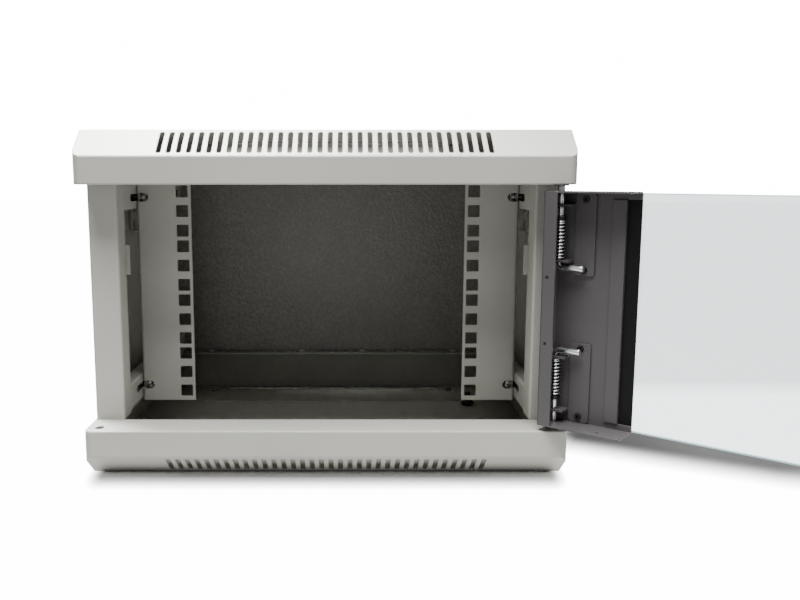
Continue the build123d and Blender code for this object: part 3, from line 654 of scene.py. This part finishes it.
@dataclass
class SpringPin:
    """One sprung hinge pin of the door: the bent pin and its coil spring.

    Sizes are in metres. The lower one is the upper one turned over about the door's middle.
    """

    shop: Workshop
    upper: bool
    axis: tuple[float, float] = (0.1675, -0.131)
    handle_way: tuple[float, float] = (0.76379, -0.64547)
    middle: float = 0.128
    tip: float = 0.096
    handle: float = 0.030
    handle_len: float = 0.0188
    bend: float = 0.0040
    radius: float = 0.0025
    rounding: float = 0.0009
    coil_from: float = 0.0357
    coil_to: float = 0.0640
    coil_radius: float = 0.0037
    wire: float = 0.0006
    turns: float = 12.0
    travel: float = 0.0095
    pin_sides: int = 28
    wire_sides: int = 10
    turn_steps: int = 28
    closing: tuple[float, float] = (0.7, 0.6)
    side: str = field(init=False)
    sign: float = field(init=False)

    def __post_init__(self) -> None:
        """Names the side, and gives the way that the tip points."""
        self.side, self.sign = ("upper", 1.0) if self.upper else ("lower", -1.0)

    def placed(self, out: np.ndarray, up: np.ndarray, beside: Union[np.ndarray, float] = 0.0) -> np.ndarray:
        """Puts points given by their way along the handle, up from the middle and beside it."""
        (ax, ay), (hx, hy) = self.axis, self.handle_way
        out, up, beside = np.broadcast_arrays(out, up, beside)
        x, y = ax + out * hx - beside * hy, ay + out * hy + beside * hx
        return np.stack([x, y, self.middle + self.sign * up], axis=-1)

    def build_pin(self) -> bpy.types.Object:
        """Makes the pin.

        Its line runs down from the tip, round a quarter circle and out along the handle, by the
        way gone: down while s < straight, then out = bend * (1 - cos(a)) and up = handle + bend *
        (1 - sin(a)) with a the way in the bend over its radius, then straight out. The radius
        shrinks in a quarter circle at both ends.

        Returns:
            The pin, in place of its node.
        """
        straight = self.tip - self.handle - self.bend
        curved = self.bend * math.pi / 2
        total = straight + curved + self.handle_len - self.bend
        ends = self.rounding * (1 - np.cos(np.linspace(0, math.pi / 2, 7)))
        way = np.unique(np.concatenate([
            ends, total - ends, np.linspace(self.rounding, straight, 12),
            np.linspace(straight, straight + curved, 17),
            np.linspace(straight + curved, total - self.rounding, 6),
        ]).round(8))
        angle = np.clip((way - straight) / self.bend, 0, math.pi / 2)
        out = self.bend * (1 - np.cos(angle)) + np.clip(way - straight - curved, 0, None)
        up = self.tip - np.clip(way, None, straight) - self.bend * np.sin(angle)
        near = np.clip(self.rounding - np.minimum(way, total - way), 0, None)
        radius = self.radius - self.rounding + np.sqrt(np.clip(self.rounding ** 2 - near ** 2, 0, None))
        beside = self.placed(np.zeros(1), np.zeros(1), 1.0) - self.placed(np.zeros(1), np.zeros(1), 0.0)
        shell = Shell().add(tube_rings(self.placed(out, up), radius, self.pin_sides, beside))
        pin = shell.build("bent_hinge_pin_" + self.side)
        self.finish(pin, self.side + "_pin", "hinge_pin_" + self.side)
        return pin

    def build_spring(self) -> bpy.types.Object:
        """Makes the coil spring with closed ends.

        The wire's centre turns evenly round the pin at coil_radius. Its height is the running
        sum of a pitch, which is the wire's thickness near both ends and even between: free rises
        from 0 to 1 over closing[1] turns after the first closing[0], and falls so at the end.

        Returns:
            The spring, in place of its node.
        """
        turn = np.linspace(0, self.turns, int(self.turns * self.turn_steps) + 1)
        shut, easing = self.closing
        free = np.clip((turn - shut) / easing, 0, 1) * np.clip((self.turns - shut - turn) / easing, 0, 1)
        step = np.diff(turn, prepend=0.0)
        closed, opened = np.cumsum(2 * self.wire * (1 - free) * step), np.cumsum(free * step)
        low, high = self.coil_from + self.wire, self.coil_to - self.wire
        up = low + closed + opened * (high - low - closed[-1]) / opened[-1]
        angle = 2 * math.pi * turn * self.sign
        path = self.placed(self.coil_radius * np.cos(angle), up, self.coil_radius * np.sin(angle))
        shell = Shell().add(tube_rings(path, np.full(len(path), self.wire), self.wire_sides))
        spring = shell.build("coil_spring_" + self.side)
        self.finish(spring, "door", "pin_spring_" + self.side)
        length = self.coil_to - self.coil_from
        self.side + "_pin_slide"
        self.middle + self.sign * self.coil_from
        (length - self.travel) / length
        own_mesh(spring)
        return spring

    def finish(self, piece: bpy.types.Object, body: str, node: str) -> None:
        """Dresses a piece, rides it on a body and lets it stand for a node."""
        self.shop.dress(piece, Finish.BRIGHT)
        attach(piece, body)
        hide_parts(node)


@dataclass
class EarthPoint:
    """Earth stud with its thread, toothed washer and nut; sizes in metres."""

    shop: Workshop
    place: tuple[float, float] = (0.1330, 0.0640)
    foot_z: tuple[float, float] = (0.0012, 0.0027)
    foot_r: float = 0.0045
    top_z: float = 0.0140
    stud_r: float = 0.0030
    pitch: float = 0.0010
    depth: float = 0.00055
    washer_z: float = 0.0044
    washer_r: tuple[float, float] = (0.0031, 0.00625)
    teeth: int = 12
    washer_half: float = 0.00045
    tooth_depth: float = 0.0012
    tooth_twist: float = 0.00035
    nut_z: float = 0.0094
    nut_half: float = 0.0050
    nut_chamfer: float = 0.97
    bore_bevel: float = 0.0003

    def build_stud(self) -> None:
        """Makes the stud with its round foot.

        The thread's radius is stud_r - depth * v, where v rises and falls once for each whole
        number that height / pitch - turn / (2 * pi) passes; a cone limits it at the tip.
        """
        turn = np.linspace(0, 2 * math.pi, 40, endpoint=False)[None]
        height = np.linspace(self.foot_z[1] - 0.0002, self.top_z, 96)[:, None]
        phase = (height / self.pitch - turn / (2 * math.pi)) % 1.0
        radius = self.stud_r - self.depth * np.abs(2 * phase - 1)
        radius = np.minimum(radius, self.stud_r - 0.0007 + np.clip(self.top_z - height, 0, None))
        base = (*self.place, 0.0)
        shell = Shell().add(turned_rings(base, radius, height, turn))
        low, high = self.foot_z
        foot_h = np.array([low, high - 0.0003, high - 0.0001, high])[:, None]
        foot_r = self.foot_r - np.array([0.0, 0.0, 0.0001, 0.0003])[:, None]
        shell.add(turned_rings(base, foot_r + 0 * turn, foot_h + 0 * turn, turn))
        self.finish(shell.build("threaded_earth_stud"), "earth_stud")

    def build_washer(self) -> None:
        """Makes the washer.

        Its outer radius steps between a tooth and a gap by a clipped cosine of teeth * turn, and
        each tooth is twisted up and down by the sine of the same angle.
        """
        turn = np.linspace(0, 2 * math.pi, self.teeth * 12, endpoint=False)[None]
        inner, outer = self.washer_r
        tooth = np.clip(2.4 * np.cos(self.teeth * turn) + 0.6, -1, 1)
        twist = self.tooth_twist * np.sin(self.teeth * turn) * np.clip(tooth, 0, 1)
        edge = outer - self.tooth_depth * (1 - tooth) / 2
        bore, root = inner + 0 * edge, outer - 0.0016 + 0 * edge
        flat = self.washer_half + 0 * twist
        radius = np.concatenate([bore, root, edge, edge, root, bore])
        height = np.concatenate([-flat, -flat, twist - flat, twist + flat, flat, flat])
        rings = turned_rings((*self.place, (self.foot_z[1] + self.washer_z) / 2), radius, height, turn)
        shell = Shell().add(rings, loop=True)
        self.finish(shell.build("toothed_earth_washer", smooth=False), "earth_washer")

    def build_nut(self) -> None:
        """Makes the nut.

        The outside is a hexagon of radius nut_half / cos(angle from a flat's middle). A cone of 30
        degrees cuts its corners off from the radius nut_half * nut_chamfer outwards.
        """
        turn = np.linspace(0, 2 * math.pi, 72, endpoint=False)[None]
        third = math.pi / 3
        hexagon = self.nut_half / np.cos((turn + third / 2) % third - third / 2)
        inside = self.nut_half * self.nut_chamfer
        drop = np.clip(hexagon - inside, 0, None) * math.tan(math.radians(30))
        bore, crown, bevel = self.stud_r + 0 * turn, inside + 0 * turn, self.bore_bevel
        low, high = self.washer_z - 0.0001 + 0 * turn, self.nut_z + 0 * turn
        radius = np.concatenate([bore, bore + bevel, crown, hexagon, hexagon, crown, bore + bevel, bore])
        height = np.concatenate([low + bevel, low, low, low + drop, high - drop, high, high, high - bevel])
        rings = turned_rings((*self.place, 0.0), radius, height, turn)
        shell = Shell().add(rings, loop=True)
        self.finish(shell.build("chamfered_earth_nut", smooth=False), "earth_nut")

    def finish(self, piece: bpy.types.Object, node: str) -> None:
        """Dresses a piece, fixes it to the cabinet and lets it stand for a node."""
        self.shop.dress(piece, Finish.BLACKENED)
        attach(piece, "cabinet")
        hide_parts(node)

    def build(self) -> None:
        """Makes the three pieces."""
        self.build_stud()
        self.build_washer()
        self.build_nut()


@dataclass
class GlassDoor:
    """The door: folded profiles, pane, tapes, guide brackets and lock."""

    shop: Workshop
    finishes: Mapping[str, Finish] = field(default_factory=lambda: {
        "door_hinge_profile": Finish.DOOR, "door_lock_profile": Finish.DOOR,
        "hinge_bracket_upper": Finish.DOOR, "hinge_bracket_lower": Finish.DOOR,
        "bracket_rivets": Finish.BLACKENED,
        "door_glass": Finish.GLASS, "hinge_side_tape": Finish.TAPE, "lock_side_tape": Finish.TAPE,
        "lock_barrel": Finish.BRIGHT, "lock_core": Finish.BRIGHT, "lock_nut": Finish.ZINC,
        "lock_cam": Finish.ZINC, "lock_cam_screw": Finish.ZINC,
        "pin_collar_upper": Finish.BLACKENED, "pin_collar_lower": Finish.BLACKENED,
    })

    def dress(self, nodes: Mapping[str, bpy.types.Object]) -> None:
        """Puts the finishes on the door's nodes."""
        for name, finish in self.finishes.items():
            self.shop.dress(nodes[name], finish)

    def build_pins(self) -> None:
        """Makes the two sprung hinge pins."""
        for upper in (True, False):
            pin = SpringPin(self.shop, upper)
            pin.build_pin()
            pin.build_spring()


# Studio

@dataclass
class Studio:
    """White floor with painted soft shadows that glows as a light onto the cabinet, three lights, a dim
    room, and the camera of the photograph.

    Sizes are in metres. foot is half the rectangle from which the foot's shadow fades; strip is
    the line of the door's shadow, as two points, and strip_past its run beyond the two ends.
    """

    focal_px: float = 831.77
    frame_w: float = 800.0
    frame_h: float = 600.0
    centre_px: tuple[float, float] = (346.44, 295.41)
    tilt: float = 8.27
    eye: Place = (0.0150, -0.72507, 0.2240)
    floor_half: float = 6.0
    floor_under: float = 0.0004
    floor_bounce: float = 0.10
    floor_glow: float = 1.45
    glow_reach: tuple[float, float] = (0.9, 0.35)
    foot: tuple[float, float] = (0.165, 0.127)
    foot_back: float = 0.0135
    side_steep: float = 2.6
    foot_fade: float = 0.042
    foot_tone: tuple[float, float] = (2.6, 0.2)
    foot_tone_run: float = 0.02
    glow_from: tuple[float, float] = (0.0125, 0.0275)
    strip: tuple[float, float, float, float] = (0.2187, -0.0244, 0.3540, -0.1004)
    strip_fade: tuple[float, float] = (0.058, 0.004)
    strip_back: tuple[float, float] = (0.045, 0.026)
    strip_past: tuple[float, float] = (0.05, 0.15)
    strip_depth: float = 0.98
    strip_tone: float = 0.12
    white: float = 15.0
    sky: float = 20.0
    through_glass: tuple[float, float] = (2.25, 3.7)
    table_edge: tuple[float, float] = (0.165, 0.105)
    room: float = 0.02
    mirrored_room: float = 0.9

    def build_camera(self) -> None:
        """Makes the camera; the picture's centre lies beside the optical axis, so it has a small shift."""
        data = bpy.data.cameras.new("camera")
        data.sensor_width = 36.0
        data.sensor_fit = "HORIZONTAL"
        data.lens = self.focal_px * data.sensor_width / self.frame_w
        data.shift_x = (self.frame_w / 2 - self.centre_px[0]) / self.frame_w
        data.shift_y = -(self.frame_h / 2 - self.centre_px[1]) / self.frame_w
        data.clip_start = 0.01
        camera = bpy.data.objects.new("camera", data)
        camera.location = self.eye
        camera.rotation_euler = (math.radians(90.0 - self.tilt), 0.0, 0.0)
        bpy.context.scene.collection.objects.link(camera)
        bpy.context.scene.camera = camera

    def build_floor(self) -> None:
        """Makes the floor: a wide square grid that stands for the white table.

        It is white where it is looked at, apart from the narrow shadow round the foot of the
        cabinet and the soft one under the door. Both are drawn here to follow the photograph's
        and aren't cast. The foot's shadow fades with the distance outside a rectangle; the
        door's is a strip along a line. The floor's glow on the cabinet fades with the distance.
        """
        side = np.linspace(-self.floor_half, self.floor_half, 9)
        x, y = np.meshgrid(side, side)
        points = np.stack([x.ravel(), y.ravel(), np.full(x.size, -self.floor_under)], axis=1)
        floor = mesh_object("studio_floor", points, grid_faces(9, 9, closed=False), smooth=False)
        material = bpy.data.materials.new("studio_white")
        material.use_nodes = True
        graph = Graph(material.node_tree)
        across, back = graph.axis("X"), graph.axis("Y")
        away = (across ** 2 + back ** 2) ** 0.5
        beside = (across.size() - self.foot[0]).most(0.0) * self.side_steep
        before = ((back - self.foot_back).size() - self.foot[1]).most(0.0)
        outside = (beside ** 2 + before ** 2) ** 0.5
        opened = outside.ramp(0.0, self.foot_fade) ** 4
        x0, y0, x1, y1 = self.strip
        run = math.hypot(x1 - x0, y1 - y0)
        ux, uy = (x1 - x0) / run, (y1 - y0) / run
        along = (across - x0) * ux + (back - y0) * uy
        off = (across - x0) * -uy + (back - y0) * ux
        shade = (off * -1).ramp(*self.strip_fade) * off.ramp(*self.strip_back)
        before_line, after_line = self.strip_past
        shade = shade * along.ramp(-before_line, 0.0) * along.ramp(run + after_line, run)
        opened = opened * (1 - shade * self.strip_depth) ** 3
        looked = graph.node("ShaderNodeLightPath", out="Is Camera Ray")
        through = graph.node("ShaderNodeLightPath", out="Is Transmission Ray")
        close, off_foot = self.foot_tone
        seen = close + outside.ramp(0.0, self.foot_tone_run) * (off_foot - close)
        seen = seen + shade * (self.strip_tone - seen)
        level = self.floor_bounce + looked * (seen - self.floor_bounce)
        colour = graph.node("ShaderNodeCombineColor", values={0: level, 1: level, 2: level})
        near = graph.node("ShaderNodeBsdfDiffuse", values={"Color": colour})
        glow_here = away.ramp(*self.glow_reach) * outside.ramp(*self.glow_from)
        other = (1 - looked) * (1 - through) * self.floor_glow * glow_here
        far_side, near_side = self.through_glass
        behind = far_side + (near_side - far_side) * back.ramp(*self.table_edge)
        glow = looked * self.white + through * behind + other
        far = graph.node("ShaderNodeEmission", values={"Strength": glow})
        hidden = (1 - looked).most(opened)
        surface = graph.node("ShaderNodeMixShader", values={0: hidden, 1: near, 2: far})
        graph.node("ShaderNodeOutputMaterial", values={"Surface": surface})
        floor.data.materials.append(material)

    def build_world(self) -> None:
        """Makes a room that is white where it is looked at, pale in mirrors, and dim as a light."""
        world = bpy.data.worlds.new("dim_room")
        world.use_nodes = True
        graph = Graph(world.node_tree)
        looked = graph.node("ShaderNodeLightPath", out="Is Camera Ray")
        through = graph.node("ShaderNodeLightPath", out="Is Transmission Ray")
        mirrored = graph.node("ShaderNodeLightPath", out="Is Glossy Ray")
        behind_glass = through * (self.through_glass[0] - self.room)
        strength = self.room + looked * (self.sky - self.room) + behind_glass
        strength = strength + mirrored * self.mirrored_room
        back = graph.node("ShaderNodeBackground", values={"Strength": strength})
        graph.node("ShaderNodeOutputWorld", values={"Surface": back})
        bpy.context.scene.world = world

    def add_area(
        self, name: str, place: Place, aim: Place, size: float, watts: float, spread: float = 180.0,
    ) -> None:
        """Adds one soft square light.

        Args:
            name: the light's name.
            place: where it stands.
            aim: the point that it faces.
            size: its side.
            watts: its power.
            spread: the angle of its beam, in degrees.
        """
        data = bpy.data.lights.new(name, "AREA")
        data.size = size
        data.energy = watts
        data.spread = math.radians(spread)
        light = bpy.data.objects.new(name, data)
        light.location = place
        light.rotation_euler = (Vector(aim) - Vector(place)).to_track_quat("-Z", "Y").to_euler()
        bpy.context.scene.collection.objects.link(light)

    def build_lights(self) -> None:
        """Makes the large soft light above the front, one above the left end and a small low one."""
        self.add_area("top_light", (0.0, -0.45, 1.3), (0.0, -0.1, 0.12), 0.9, 44.0)
        self.add_area("left_light", (-0.30, 0.02, 1.1), (-0.10, -0.15, 0.25), 0.3, 2.8, 32.0)
        self.add_area("low_light", (-0.06, -0.95, 0.04), (-0.02, 0.14, 0.13), 0.07, 0.45)

    def build(self) -> None:
        """Makes the whole studio."""
        self.build_camera()
        self.build_floor()
        self.build_world()
        self.build_lights()
        LOG.info("studio ready")


def main() -> None:
    """Loads the frame, builds and dresses every sub-assembly, and sets the studio."""
    logging.basicConfig(level=logging.INFO, format="%(name)s: %(message)s")
    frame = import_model()
    nodes = frame["nodes"]
    shop = Workshop()
    CabinetShell(shop).dress(nodes)
    RackRails(shop).dress(nodes)
    EarthPoint(shop).build()
    door = GlassDoor(shop)
    door.dress(nodes)
    door.build_pins()
    Studio().build()


if __name__ == "__main__":
    main()
